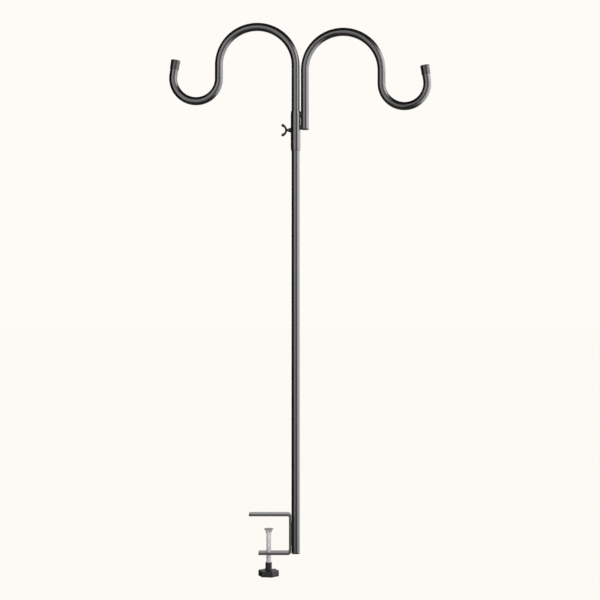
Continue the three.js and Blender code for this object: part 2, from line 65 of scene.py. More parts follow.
print("Packed model, mm:", [round(1000 * side, 1) for side in cad_high - cad_low])

# %% [markdown]
# ## The camera
#
# The photograph is taken level from the front with a long lens: the pole's sides stay parallel, but
# the clamp's jaws are seen a little from above, and that sets how far away the camera stands. A wide
# lens up close would show more of the jaws, so the distance is fitted first and the lens follows.

# %% Place the camera
CAMERA_AWAY = 2.88
CAMERA_X = 0.0602
CAMERA_HEIGHT = 0.4134
LENS_MM = 90
SENSOR_MM = 36

camera = bpy.data.objects.new("camera", bpy.data.cameras.new("camera"))
bpy.context.scene.collection.objects.link(camera)
camera.location = (CAMERA_X, -CAMERA_AWAY, CAMERA_HEIGHT)
camera.rotation_euler = (math.radians(90), 0, 0)
camera.data.lens = LENS_MM
camera.data.sensor_width = SENSOR_MM
bpy.context.scene.camera = camera
print("Camera sees", round(CAMERA_AWAY * SENSOR_MM / LENS_MM, 3), "m of height at the pole")

# %% [markdown]
# ## Shader maths as plain expressions
#
# A finish is a graph of nodes, and graphs are tedious to wire by hand. Here a small class wraps one
# socket, so that sums and products of sockets are written as ordinary Python and add their own Math
# nodes. Every other node comes from one method, which takes the node's type, its settings and what
# goes into its sockets.

# %% A socket that does arithmetic
class Wire:
    """One output socket of a shader, which goes into sums and products like a number."""

    def __init__(self, shader, socket):
        self.shader = shader
        self.socket = socket

    def maths(self, operation, first, second):
        return self.shader.node("Math", {"operation": operation}, {0: first, 1: second})

    def __add__(self, other):
        return self.maths("ADD", self, other)

    def __radd__(self, other):
        return self.maths("ADD", other, self)

    def __rsub__(self, other):
        return self.maths("SUBTRACT", other, self)

    def __mul__(self, other):
        return self.maths("MULTIPLY", self, other)

    def __rmul__(self, other):
        return self.maths("MULTIPLY", other, self)

    def above(self, level, softness):
        """0 below the level and 1 above it, with a soft step between."""
        edges = {"Value": self, "From Min": level - softness, "From Max": level + softness}
        return self.shader.node("MapRange", {"interpolation_type": "SMOOTHSTEP"}, edges)


# %% A shader that makes its own nodes
class Shader:
    """The node tree of a material or a world."""

    def __init__(self, owner, output):
        owner.use_nodes = True
        self.owner = owner
        self.tree = owner.node_tree
        self.tree.nodes.clear()
        self.out = self.tree.nodes.new(output)

    def node(self, kind, settings, values, result=0):
        """A new node: its type, its settings, what goes into its sockets, and the output wanted."""
        made = self.tree.nodes.new("ShaderNode" + kind)
        for name, setting in settings.items():
            setattr(made, name, setting)
        for name, value in values.items():
            if isinstance(value, Wire):
                self.tree.links.new(value.socket, made.inputs[name])
            else:
                made.inputs[name].default_value = value
        return Wire(self, made.outputs[result])

    def blend(self, factor, first, second):
        """One colour or another, by a factor."""
        return self.node(
            "Mix", {"data_type": "RGBA"}, {"Factor": factor, "A": first, "B": second}, "Result"
        )

    def grain(self, place, size, detail, roughness=0.5):
        """Soft noise from 0 to 1 whose lumps are about this size, in metres."""
        lumps = {"Vector": place, "Scale": 1 / size, "Detail": detail, "Roughness": roughness}
        return self.node("TexNoise", {}, lumps)

    def bump(self, height, depth):
        """Lays a height from 0 to 1 over the surface, this many metres deep."""
        return self.node("Bump", {}, {"Height": height, "Distance": depth, "Strength": 1.0})

    def finish(self, surface):
        self.tree.links.new(surface.socket, self.out.inputs["Surface"])
        print(self.owner.name, "has", len(self.tree.nodes), "nodes")
        return self.owner


# %% [markdown]
# ## Four finishes
#
# The steel is powder coated, the screw and its pad are zinc plated, the knob and the tube plugs are
# moulded plastic, and the caps on the hooks' tips are dipped vinyl. All four are nearly colourless, and
# what tells them apart is how they break up a reflection. Plain colours would look alike close up, so
# most of the work goes into roughness and fine bump, at their real size.

# %% Start a finish
def new_finish(name):
    """A material with a place on the surface that stays put when the piece moves."""
    shader = Shader(bpy.data.materials.new(name), "ShaderNodeOutputMaterial")
    place = shader.node("TexCoord", {}, {}, "Object")
    return shader, place


# %% [markdown]
# Powder melts into a film with a faint orange peel: ripples a millimetre or two across and a few
# thousandths deep. The gloss has two layers, a broad sheen from the pigment below and a tighter one from
# the resin on top, and a coat layer in the shader gives just that. A single glossy layer was the other
# choice, but it looks like wet paint. Where the powder lies thick, on weld and castings, it stays matt,
# so the same finish is made a second time with a weak coat and a finer, deeper ripple.

# %% Powder coat
POWDER_BLACK = (0.0052, 0.0050, 0.0049, 1.0)
POWDER_WORN = (0.0090, 0.0086, 0.0083, 1.0)
POWDER_CLOUD = 0.030
POWDER_GRAIN = 0.0003


def powder_coat(name, sheen, roughness, coat_roughness, coat_weight, ripple, ripple_depth):
    """Black powder coat. Sheen scales the pigment's gloss, ripple is the size of the orange peel."""
    shader, place = new_finish(name)
    cloud = shader.grain(place, POWDER_CLOUD, detail=3.0)
    peel = shader.grain(place, ripple, detail=2.0, roughness=0.4)
    fleck = shader.grain(place, POWDER_GRAIN, detail=1.0)
    height = peel * 0.9 + fleck * 0.1
    values = {
        "Base Color": shader.blend(cloud.above(0.55, 0.2), POWDER_BLACK, POWDER_WORN),
        "Roughness": roughness + 0.08 * cloud,
        "IOR": 1.5,
        "Specular IOR Level": sheen,
        "Coat Weight": coat_weight + 0.1 * peel,
        "Coat Roughness": coat_roughness,
        "Coat IOR": 1.5,
        "Normal": shader.bump(height, ripple_depth),
    }
    return shader.finish(shader.node("BsdfPrincipled", {}, values))


# %% [markdown]
# Bright zinc is a thin metal skin under a milky film of passivation, which scatters some of the light.
# So it is only partly metallic, and the film clouds where it dried. The turning marks under it run round
# the axis. A wave texture would draw them too evenly, so they are noise, stretched sideways into bands.
# On the pad, the band round the rim is painted darker: a painted dark reflection.

# %% Zinc plating
ZINC_BRIGHT = (0.84, 0.83, 0.84, 1.0)
ZINC_CLOUDED = (0.72, 0.705, 0.725, 1.0)
# The colour of a painted dark reflection on the pad's rim.
PAINTED_RIM_DARK = (0.24, 0.235, 0.24, 1.0)
PAINTED_RIM_SOFTNESS = 0.0002
ZINC_CLOUD = 0.0045
TURNING_MARK = 0.00028
TURNING_DEPTH = 0.000003
SIDEWAYS = (0.12, 0.12, 1.0)


def zinc(name, painted_dark_above):
    """Zinc plating, with a painted dark reflection above the given height."""
    shader, place = new_finish(name)
    flat = shader.node("VectorMath", {"operation": "MULTIPLY"}, {0: place, 1: SIDEWAYS})
    turning = shader.grain(flat, TURNING_MARK, detail=2.0)
    cloud = shader.grain(place, ZINC_CLOUD, detail=4.0, roughness=0.6)
    plated = shader.blend(cloud.above(0.5, 0.25), ZINC_BRIGHT, ZINC_CLOUDED)
    height = shader.node("SeparateXYZ", {}, {"Vector": place}, "Z")
    values = {
        # Above that height the colour is painted dark, a painted reflection.
        "Base Color": shader.blend(height.above(painted_dark_above, PAINTED_RIM_SOFTNESS), plated, PAINTED_RIM_DARK),
        "Metallic": 0.42 + 0.16 * cloud,
        "Roughness": 0.16 + 0.10 * cloud + 0.05 * turning,
        "Normal": shader.bump(turning, TURNING_DEPTH),
    }
    return shader.finish(shader.node("BsdfPrincipled", {}, values))


# %% [markdown]
# The mould of a cheap knob is spark eroded, which leaves a fine even pebble that kills the gloss. Soft
# vinyl is smoother, but it has no clear film: its sheen is broad, and handling leaves it patchy. Both are
# the same graph of clouds and pebble with other sizes, so one function makes them.

# %% Moulded plastic and dipped vinyl
MOULDED_CLOUD = 0.006


def moulded(name, dark, light, grain_size, grain_depth, roughness, sheen):
    """A moulded black surface: pebble with cloudy patches. Sheen scales its gloss."""
    shader, place = new_finish(name)
    cloud = shader.grain(place, MOULDED_CLOUD, detail=3.0)
    pebble = shader.grain(place, grain_size, detail=2.0)
    values = {
        "Base Color": shader.blend(cloud.above(0.5, 0.3), dark, light),
        "Roughness": roughness + 0.12 * cloud,
        "IOR": 1.5,
        "Specular IOR Level": sheen,
        "Normal": shader.bump(pebble, grain_depth),
    }
    return shader.finish(shader.node("BsdfPrincipled", {}, values))


PLASTIC_DARK = (0.0060, 0.0060, 0.0066, 1.0)
PLASTIC_LIGHT = (0.0105, 0.0105, 0.0112, 1.0)
VINYL_DARK = (0.0060, 0.0056, 0.0053, 1.0)
VINYL_LIGHT = (0.0110, 0.0102, 0.0096, 1.0)


# %% Mix all the finishes
PAD_RIM = 0.0014
pad_low, pad_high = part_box("clamp_pad")

FINISHES = {
    "powder_coat": powder_coat(
        "powder_coat", sheen=0.5, roughness=0.22, coat_roughness=0.09, coat_weight=0.9,
        ripple=0.0022, ripple_depth=0.000005,
    ),
    "matt_powder": powder_coat(
        "matt_powder", sheen=0.2, roughness=0.38, coat_roughness=0.28, coat_weight=0.25,
        ripple=0.0008, ripple_depth=0.000012,
    ),
    # Painted dark above the top of the whole stand means painted dark nowhere.
    "zinc": zinc("plated_zinc", cad_high.z),
    "zinc_painted_dark_rim": zinc("zinc_painted_dark_rim", pad_high.z - PAD_RIM),
    "black_plastic": moulded(
        "black_plastic", PLASTIC_DARK, PLASTIC_LIGHT,
        grain_size=0.00035, grain_depth=0.00002, roughness=0.34, sheen=0.36,
    ),
    "black_vinyl": moulded(
        "black_vinyl", VINYL_DARK, VINYL_LIGHT,
        grain_size=0.0009, grain_depth=0.00001, roughness=0.20, sheen=0.55,
    ),
}

# %% [markdown]
# ## Meshes from rings
#
# Nearly every piece here is round or drawn: tubes, turned parts, a bar, beads of weld. All of them are
# a skin over a row of rings, so one helper builds them. Modifiers on primitives would be the usual
# choice, but rings give even quads that follow the form, and every radius is a number with a name.

# %% Skin a row of rings
SHARP_ANGLE = math.radians(40)
SAME_POINT = 1e-7


def close_up(mesh):
    """Joins points that coincide, turns all faces outwards and keeps only real edges sharp."""
    shape = bmesh.new()
    shape.from_mesh(mesh)
    bmesh.ops.remove_doubles(shape, verts=shape.verts, dist=SAME_POINT)
    bmesh.ops.recalc_face_normals(shape, faces=shape.faces)
    shape.to_mesh(mesh)
    shape.free()
    mesh.shade_smooth()
    mesh.set_sharp_from_angle(angle=SHARP_ANGLE)
    return mesh


def skin(rings, hollow=False, capped=True):
    """A mesh over rings of as many points each. A hollow one closes from the last to the first."""
    sides = len(rings[0])
    rows = len(rings)
    faces = []
    for row in range(rows if hollow else rows - 1):
        here = row * sides
        there = (row + 1) % rows * sides
        for side in range(sides):
            ahead = (side + 1) % sides
            faces.append((here + side, here + ahead, there + ahead, there + side))
    if capped and not hollow:
        faces.append(range(sides))
        faces.append(range((rows - 1) * sides, rows * sides))
    mesh = bpy.data.meshes.new("skin")
    mesh.from_pydata([point for ring in rings for point in ring], [], faces)
    return close_up(mesh)


def heaped(meshes):
    """One mesh that holds all of these. Shells that share an edge ring are joined there."""
    heap = bmesh.new()
    for mesh in meshes:
        heap.from_mesh(mesh)
    whole = bpy.data.meshes.new("heap")
    heap.to_mesh(whole)
    heap.free()
    return close_up(whole)


# %% [markdown]
# A maker draws a turned part as an outline with a few corners, and notes a radius at each. The next
# helper reads such a drawing: each corner is a radius from the axis, a height, and how much it is
# rounded.

# %% Turn an outline
ROUNDING_STEPS = 4
TURNED_SIDES = 64


def rounded(corners):
    """Points along an outline of (radius, height, rounding) corners, each rounding an arc."""
    points = []
    for index, (radius, height, rounding) in enumerate(corners):
        corner = Vector((radius, height))
        if not rounding:
            points.append(corner)
            continue
        back = (Vector(corners[index - 1][:2]) - corner).normalized()
        ahead = (Vector(corners[(index + 1) % len(corners)][:2]) - corner).normalized()
        half = back.angle(ahead) / 2
        centre = corner + (back + ahead).normalized() * rounding / math.sin(half)
        start = corner + back * rounding / math.tan(half) - centre
        end = corner + ahead * rounding / math.tan(half) - centre
        first = math.atan2(start.y, start.x)
        swing = math.remainder(math.atan2(end.y, end.x) - first, 2 * math.pi)
        for step in range(ROUNDING_STEPS + 1):
            angle = first + swing * step / ROUNDING_STEPS
            points.append(centre + Vector((math.cos(angle), math.sin(angle))) * rounding)
    return points


def ring(reach, height, place, sides):
    """A ring about local Z. Its reach is one radius, or a function of the angle."""
    points = []
    for side in range(sides):
        angle = 2 * math.pi * side / sides
        radius = reach(angle) if callable(reach) else reach
        points.append(place @ Vector((radius * math.cos(angle), radius * math.sin(angle), height)))
    return points


def turned(corners, place, sides=TURNED_SIDES, hollow=False):
    """A part turned about local Z, solid to the axis or hollow."""
    outline = rounded(corners)
    return skin([ring(point.x, point.y, place, sides) for point in outline], hollow)


# %% [markdown]
# ## Fitting a piece
#
# Each fine mesh becomes an object that rides on the body of the solid it covers, names its finish and
# hides that solid. It prints how far its box is from the solid's, so that a slip shows at once.
#
# Smooth shading has a trap here. Where a long straight side meets a small rounding, the shared normal
# leans a little, and the lean spreads over the whole side: a pole's reflections then fade towards its
# foot. Weighing the normals by the faces' areas keeps the straight sides straight.

# %% Apply a piece's modifiers
def loose(mesh):
    """A plain object to hang modifiers on."""
    piece = bpy.data.objects.new("loose", mesh)
    bpy.context.scene.collection.objects.link(piece)
    return piece


def applied(piece):
    """The mesh of an object with its modifiers applied. The object itself is removed."""
    graph = bpy.context.evaluated_depsgraph_get()
    mesh = bpy.data.meshes.new_from_object(piece.evaluated_get(graph))
    bpy.data.objects.remove(piece)
    return mesh


def true_sided(mesh):
    """The mesh with its normals weighed by face area."""
    piece = loose(mesh)
    weigh = piece.modifiers.new("weigh", "WEIGHTED_NORMAL")
    weigh.mode = "FACE_AREA"
    weigh.keep_sharp = True
    return applied(piece)


# %% Fit a piece over its solid
def fit(name, mesh, finish, body, solid):
    """A new object in place of a solid."""
    mesh = true_sided(mesh)
    piece = bpy.data.objects.new(name, mesh)
    bpy.context.scene.collection.objects.link(piece)
    mesh.materials.append(FINISHES[finish])
    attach(piece, body)
    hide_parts(solid)
    low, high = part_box(solid)
    off = 0
    for axis in range(3):
        spots = [point.co[axis] for point in mesh.vertices]
        off = max(off, abs(min(spots) - low[axis]), abs(max(spots) - high[axis]))
    print(f"{name}: {len(mesh.polygons)} faces, box within {1000 * off:.2f} mm of its solid")


# %% [markdown]
# ## The pole
#
# The pole is one straight tube, deburred at both ends, with a plastic plug in its foot. Its radius and
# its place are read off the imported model, so that everything that fits it follows.

# %% Pole and its foot plug
post_low, post_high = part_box("post_tube")
POST_X = (post_low.x + post_high.x) / 2
TUBE_RADIUS = (post_high.x - post_low.x) / 2
TUBE_WALL = 0.0012
TUBE_BORE = TUBE_RADIUS - TUBE_WALL
TUBE_SIDES = 72
DEBUR = 0.0003
FIT_GAP = 0.0003
TURN_GAP = 0.0004
PLUG_FLANGE = 0.0015
PLUG_DEPTH = 0.012
# The flat of the flange, as a share of its radius, and its dome, as a share of its thickness.
PLUG_FLAT = 0.55
PLUG_DOME = 0.45


def tube_outline(low, high):
    return [
        (TUBE_RADIUS, low, DEBUR),
        (TUBE_RADIUS, high, DEBUR),
        (TUBE_BORE, high, DEBUR),
        (TUBE_BORE, low, DEBUR),
    ]


def plug_mesh(place):
    """A plug whose domed flange covers the end of a tube. Local +Z points into the tube."""
    stem = TUBE_BORE - FIT_GAP
    flange_low = -FIT_GAP - PLUG_FLANGE
    return turned([
        (0, flange_low, 0),
        (TUBE_RADIUS * PLUG_FLAT, flange_low, 0.003),
        (TUBE_RADIUS, flange_low + PLUG_FLANGE * PLUG_DOME, 0.0005),
        (TUBE_RADIUS, -FIT_GAP, 0.0002),
        (stem, -FIT_GAP, 0),
        (stem, PLUG_DEPTH, 0.0006),
        (0, PLUG_DEPTH, 0),
    ], place)


at_post = Matrix.Translation((POST_X, 0, 0))
pole_mesh = turned(tube_outline(post_low.z, post_high.z), at_post, TUBE_SIDES, hollow=True)
fit("pole", pole_mesh, "powder_coat", "post", "post_tube")
pole_foot = Matrix.Translation((POST_X, 0, post_low.z))
fit("pole_foot_plug", plug_mesh(pole_foot), "black_plastic", "post", "post_foot_plug")

# %% [markdown]
# ## The crooks
#
# Each crook is the same tube, bent cold over two rollers: a wide bow, a short straight, and the hook
# itself, whose tip leans back so that a basket can't slip off. A curve with a bevel would give the
# same form. Rings set along the centreline are used instead, because they also close the bore and
# deburr the ends.

# %% The centreline of a crook
ARM_RADIUS = 0.0736
ARM_DROP = 0.025
HOOK_RADIUS = 0.0439
TIP_LEAN = math.radians(9)
TIP_STRAIGHT = 0.0265
BEND_STEP = math.radians(2.5)


def bend(centre_x, centre_z, radius, start, end):
    """Stations (x, z, heading) round a bend, between two angles from its centre."""
    steps = round(abs(end - start) / BEND_STEP)
    ahead = math.copysign(math.pi / 2, end - start)
    stations = []
    for step in range(steps + 1):
        angle = start + (end - start) * step / steps
        x = centre_x + radius * math.cos(angle)
        z = centre_z + radius * math.sin(angle)
        stations.append((x, z, angle + ahead))
    return stations


def crook_line(leg):
    """Stations along a crook that rises from its joint and bows over towards +X."""
    hook_x = 2 * ARM_RADIUS + HOOK_RADIUS
    line = [(0, 0, math.pi / 2), (0, DEBUR, math.pi / 2)]
    line += bend(ARM_RADIUS, leg, ARM_RADIUS, math.pi, 0)
    line += bend(hook_x, leg - ARM_DROP, HOOK_RADIUS, math.pi, 2 * math.pi + TIP_LEAN)
    x, z, heading = line[-1]
    for length in (TIP_STRAIGHT - DEBUR, TIP_STRAIGHT):
        line.append((x + length * math.cos(heading), z + length * math.sin(heading), heading))
    return line


# %% A bent tube along it
def tube_ring(station, radius, place):
    x, z, heading = station
    side = Vector((-math.sin(heading), 0, math.cos(heading)))
    points = []
    for step in range(TUBE_SIDES):
        angle = 2 * math.pi * step / TUBE_SIDES
        spoke = side * math.cos(angle) + Vector((0, math.sin(angle), 0))
        points.append(place @ (Vector((x, 0, z)) + radius * spoke))
    return points


def crook_mesh(leg, place):
    line = crook_line(leg)
    outside = [TUBE_RADIUS] * len(line)
    outside[0] = outside[-1] = TUBE_RADIUS - DEBUR
    rings = [tube_ring(station, radius, place) for station, radius in zip(line, outside)]
    rings += [tube_ring(station, TUBE_BORE, place) for station in reversed(line)]
    return skin(rings, hollow=True)


# %% [markdown]
# The caps are dipped vinyl: thick over the end, thin at the mouth, and slightly wider at the top where
# the tube's edge stretches them.

# %% A tip cap
CAP_LENGTH = 0.018
CAP_WALL = 0.0008
CAP_TOP = 0.0015
CAP_MOUTH_IN = 0.0003
CAP_STRAIGHT = 0.55
CAP_SHOULDER = 0.003


def cap_mesh(place):
    bore = TUBE_RADIUS + FIT_GAP
    outside = bore + CAP_WALL
    top = FIT_GAP + CAP_TOP
    mouth = top - CAP_LENGTH
    return turned([
        (0, FIT_GAP, 0),
        (bore, FIT_GAP, 0.0006),
        (bore, mouth, 0),
        (outside - CAP_MOUTH_IN, mouth, 0.0002),
        (outside - CAP_MOUTH_IN, mouth + CAP_LENGTH * CAP_STRAIGHT, 0.02),
        (outside, top - CAP_SHOULDER, 0.01),
        (outside, top, 0.0009),
        (0, top, 0),
    ], place)


# %% Both crooks
MAIN_LEG = 0.1022
SIDE_LEG = 0.1130
SIDE_LEG_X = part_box("side_hook_foot_plug")[0].x + TUBE_RADIUS

main_foot = Matrix.Translation((POST_X, 0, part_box("main_hook_tube")[0].z))
main_joint = main_foot @ Matrix.Rotation(math.pi, 4, "Z")
side_joint = Matrix.Translation((SIDE_LEG_X, 0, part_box("side_hook_tube")[0].z))


def at_tip(leg, place):
    x, z, heading = crook_line(leg)[-1]
    return place @ Matrix.Translation((x, 0, z)) @ Matrix.Rotation(math.pi / 2 - heading, 4, "Y")


fit("main_crook", crook_mesh(MAIN_LEG, main_joint), "powder_coat", "main_hook", "main_hook_tube")
fit("side_crook", crook_mesh(SIDE_LEG, side_joint), "powder_coat", "side_hook", "side_hook_tube")
main_tip = at_tip(MAIN_LEG, main_joint)
side_tip = at_tip(SIDE_LEG, side_joint)
fit("main_crook_cap", cap_mesh(main_tip), "black_vinyl", "main_hook", "main_hook_tip_cap")
fit("side_crook_cap", cap_mesh(side_tip), "black_vinyl", "side_hook", "side_hook_tip_cap")
fit("side_crook_plug", plug_mesh(side_joint), "black_plastic", "side_hook", "side_hook_foot_plug")

# %% [markdown]
# ## Beads of weld
#
# A hand-laid bead is a row of puddles, each frozen over the last, so its surface is scalloped and each
# scallop bows backwards in the direction of travel. Bump alone would leave a straight outline, so the
# scallops are in the mesh. The beads sink into both pieces, as melted steel does.

# %% A weld bead
PUDDLE = 0.65
PUDDLE_DEPTH = 0.07
PUDDLE_BOW = 0.5
BEAD_ROW = 0.075
BEAD_SIDES = 28
BEAD_UNEVEN = 0.05
BEAD_LUMP = 0.002


def bead_mesh(x, y, low, length, radius, outward):
    """An upright bead whose middle line stands at x, y. Outward is the angle that it faces.

    Its puddles are measured in shares of the bead's radius.
    """
    def reach(angle, height):
        off_axis = math.remainder(angle - outward, 2 * math.pi)
        phase = height / (PUDDLE * radius) - PUDDLE_BOW * (1 - math.cos(off_axis))
        valley = 1 - abs(math.sin(math.pi * phase))
        uneven = noise.noise(Vector((height / BEAD_LUMP, math.cos(angle), own_lumps)))
        full = 1 - PUDDLE_DEPTH * valley ** 2 + BEAD_UNEVEN * (uneven - 0.5)
        from_end = min(height, length - height, radius) / radius
        return radius * full * math.sqrt(max(0, 1 - (1 - from_end) ** 2))

    own_lumps = 1000 * low
    place = Matrix.Translation((x, y, low))
    rows = round(length / (BEAD_ROW * radius))
    rings = []
    for row in range(rows + 1):
        height = length * row / rows
        rings.append(ring(lambda angle: reach(angle, height), height, place, BEAD_SIDES))
    return skin(rings)


# %% Weld the bracket to the pole, and the side crook to the sleeve
def weld(name, body, solid, x, inset, radius):
    """A bead as long as its solid, on the side of the pole where that solid lies."""
    low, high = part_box(solid)
    side = math.copysign(1, low.y + high.y)
    mesh = bead_mesh(x, side * inset, low.z, high.z - low.z, radius, side * math.pi / 2)
    fit(name, mesh, "matt_powder", body, solid)


BRACKET_BEAD = 0.0012
SIDE_BEAD = 0.0022
SIDE_BEAD_INSET = 0.0047
sleeve_low, sleeve_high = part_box("coupling_sleeve")
SLEEVE_RADIUS = (sleeve_high.x - sleeve_low.x) / 2
side_bead_x = POST_X + SLEEVE_RADIUS + FIT_GAP / 2
bead_back = TUBE_RADIUS - BRACKET_BEAD / 2
bead_from_axis = TUBE_RADIUS + BRACKET_BEAD / 2
bracket_bead_inset = math.sqrt(bead_from_axis ** 2 - bead_back ** 2)
for face in ("front", "back"):
    solid = f"bracket_weld_{face}"
    weld(f"bracket_bead_{face}", "post", solid, POST_X - bead_back, bracket_bead_inset, BRACKET_BEAD)
    for level in ("upper", "lower"):
        bead = f"side_crook_bead_{level}_{face}"
        solid = f"side_hook_weld_{level}_{face}"
        weld(bead, "side_hook", solid, side_bead_x, SIDE_BEAD_INSET, SIDE_BEAD)

# %% [markdown]
# ## The sleeve
#
# The sleeve is a short piece of the next larger tube. Both ends are necked in over a few millimetres, so
# that they close on the pole and the crook.

# %% Sleeve
SLEEVE_BORE = TUBE_RADIUS + TURN_GAP
SLEEVE_NECK = 0.0065
SLEEVE_LIP = 0.0006
sleeve_end = SLEEVE_BORE + SLEEVE_LIP
sleeve_mesh = turned([
    (SLEEVE_BORE, sleeve_low.z, 0.0002),
    (sleeve_end, sleeve_low.z, 0.0003),
    (SLEEVE_RADIUS, sleeve_low.z + SLEEVE_NECK, 0.012),
    (SLEEVE_RADIUS, sleeve_high.z - SLEEVE_NECK, 0.012),
    (sleeve_end, sleeve_high.z, 0.0003),
    (SLEEVE_BORE, sleeve_high.z, 0.0002),
], at_post, TUBE_SIDES, hollow=True)
fit("sleeve", sleeve_mesh, "powder_coat", "side_hook", "coupling_sleeve")

# %% [markdown]
# ## The wing screw
#
# A coned boss is welded to the sleeve, and the wing screw turns in it. The head is a small casting:
# two bowed ears on a hub. Castings have no sharp inside corners, and that is awkward to model edge by
# edge. So the ears and the hub are made as plain overlapping forms, and a voxel remesh melts them
# into one skin, which a little smoothing then softens.

# %% Boss
boss_low, boss_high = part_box("wing_screw_boss")
WING_Z = (boss_low.z + boss_high.z) / 2
BOSS_BASE = (boss_high.z - boss_low.z) / 2
BOSS_TIP = POST_X - boss_low.x
BOSS_NOSE = 0.0035
BOSS_BORE = 0.0026
BOSS_CHAMFER = 0.0002
BOSS_LEAD_IN = 0.0003
# Where the boss starts, inside the sleeve's wall, and where its cone starts, from the pole's axis.
BOSS_FOOT = 0.0084
BOSS_CONE = 0.0098
wing_axis = Matrix.Translation((POST_X, 0, WING_Z)) @ Matrix.Rotation(-math.pi / 2, 4, "Y")
boss_mesh = turned([
    (BOSS_BORE, BOSS_FOOT, 0),
    (BOSS_BASE, BOSS_FOOT, 0),
    (BOSS_BASE, BOSS_CONE, 0.0003),
    (BOSS_NOSE, BOSS_TIP, 0.0004),
    (BOSS_BORE + BOSS_CHAMFER, BOSS_TIP, 0),
    (BOSS_BORE, BOSS_TIP - BOSS_LEAD_IN, 0),
], wing_axis, hollow=True)
fit("wing_screw_boss_turned", boss_mesh, "matt_powder", "side_hook", "wing_screw_boss")

# %% [markdown]
# A thread could be a wave sampled on level rings, but its crest then runs between the rows and looks
# ragged. Here the rows themselves are wound along the helix, four to a turn: both edges of the crest and
# both edges of the root. Where a row comes round, it meets the row one turn further up. Heights past an
# end are held at that end, where the radius is the root's, so the thread runs out in a plain ring.

# %% Threads
THREAD_SIDES = 48
THREAD_DEPTH = 0.58
SPARE_TURNS = 2
# Where each row lies, in turns above the middle of the crest, and whether it is on the crest.
THREAD_ROWS = ((-0.07, 1), (0.07, 1), (0.38, 0), (0.62, 0))


def thread_root(radius, pitch):
    return radius - THREAD_DEPTH * pitch


def thread_mesh(radius, pitch, low, high, place):
    """A right-hand thread from low to high, open at both ends."""
    root = thread_root(radius, pitch)
    per_turn = len(THREAD_ROWS)
    spots = []
    for turn in range(-SPARE_TURNS, math.ceil((high - low) / pitch) + SPARE_TURNS):
        for rise, on_crest in THREAD_ROWS:
            for side in range(THREAD_SIDES):
                angle = 2 * math.pi * side / THREAD_SIDES
                height = low + pitch * (turn + rise + side / THREAD_SIDES)
                height = min(high, max(low, height))
                crest = min(radius, root + min(height - low, high - height))
                reach = crest if on_crest else root
                across = (reach * math.cos(angle), reach * math.sin(angle))
                spots.append(place @ Vector((*across, height)))
    rows = len(spots) // THREAD_SIDES
    faces = []
    for row in range(rows - 1):
        for side in range(THREAD_SIDES):
            here = row * THREAD_SIDES + side
            beside = here + 1
            if side == THREAD_SIDES - 1:
                beside = (row + per_turn) * THREAD_SIDES
            if beside + THREAD_SIDES < len(spots):
                faces.append((here, beside, beside + THREAD_SIDES, here + THREAD_SIDES))
    mesh = bpy.data.meshes.new("thread")
    mesh.from_pydata(spots, [], faces)
    return close_up(mesh)


def end_mesh(place, steps):
    """A shell that closes a thread's end, from (radius, height) steps. The first is the root's."""
    rings = [ring(radius, height, place, THREAD_SIDES) for radius, height in steps]
    return skin(rings, capped=False)


# %% Shank of the wing screw
SHANK_RADIUS = 0.0024
SHANK_PITCH = 0.0008
STUB_RADIUS = 0.0015
STUB_LENGTH = 0.0026
shank_low, shank_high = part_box("wing_screw_shank")
shank_start = POST_X - shank_high.x
shank_end = POST_X - shank_low.x
shank_shoulder = shank_end - STUB_LENGTH
shank_root = thread_root(SHANK_RADIUS, SHANK_PITCH)
shank_mesh = heaped([
    thread_mesh(SHANK_RADIUS, SHANK_PITCH, shank_start, shank_shoulder, wing_axis),
    end_mesh(wing_axis, [(shank_root, shank_start), (0, shank_start)]),
    end_mesh(wing_axis, [
        (shank_root, shank_shoulder),
        (STUB_RADIUS, shank_shoulder),
        (STUB_RADIUS, shank_end),
        (0, shank_end),
    ]),
])
fit("wing_screw_thread", shank_mesh, "matt_powder", "wing_screw", "wing_screw_shank")

# %% Melt overlapping forms into one casting
def cast(forms, voxel, smoothing):
    """One smooth skin round several overlapping meshes."""
    piece = loose(heaped(forms))
    melt = piece.modifiers.new("melt", "REMESH")
    melt.mode = "VOXEL"
    melt.voxel_size = voxel
    soften = piece.modifiers.new("soften", "SMOOTH")
    soften.iterations = smoothing
    return close_up(applied(piece))


def drilled(mesh, drill):
    """The mesh with the drill's form cut out of it."""
    piece = loose(mesh)
    cutter = loose(drill)
    cut = piece.modifiers.new("cut", "BOOLEAN")
    cut.object = cutter
    cut.solver = "EXACT"
    result = applied(piece)
    bpy.data.objects.remove(cutter)
    return close_up(result)


# %% Head of the wing screw
head_low, head_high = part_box("wing_screw_head")
HUB_START = POST_X - head_high.x
HUB_RADIUS = 0.0027
EAR_SPREAD = 0.0091
EAR_WAIST = 0.0021
EAR_END = 0.0030
EAR_RISE = 0.0063
EAR_THICK = 0.0017
EAR_THIN = 0.0015
EAR_TIP_OUT = POST_X - head_low.x - EAR_END
EAR_MIDDLE_OUT = EAR_TIP_OUT - EAR_RISE
ear_bow = (EAR_SPREAD ** 2 + EAR_RISE ** 2) / (2 * EAR_RISE)
ear_half_angle = math.asin(EAR_SPREAD / ear_bow) + EAR_END / ear_bow
ear_length = 2 * ear_half_angle * ear_bow
print("The ears bow to a radius of", round(1000 * ear_bow, 1), "mm")


def ear_sizes(along):
    """Half the height and half the thickness of the ears, from 0 at one tip to 1 at the other."""
    from_middle = abs(2 * along - 1)
    from_tip = (1 - from_middle) * ear_length / 2
    swell = min(1, from_middle / (1 - 2 * EAR_END / ear_length)) ** 3
    height = EAR_WAIST + (EAR_END - EAR_WAIST) * swell
    thickness = EAR_THICK + (EAR_THIN - EAR_THICK) * from_middle
    if from_tip < EAR_END:
        taper = math.sqrt(max(0, 1 - (1 - from_tip / EAR_END) ** 2))
        return height * taper, thickness * math.sqrt(taper)
    return height, thickness


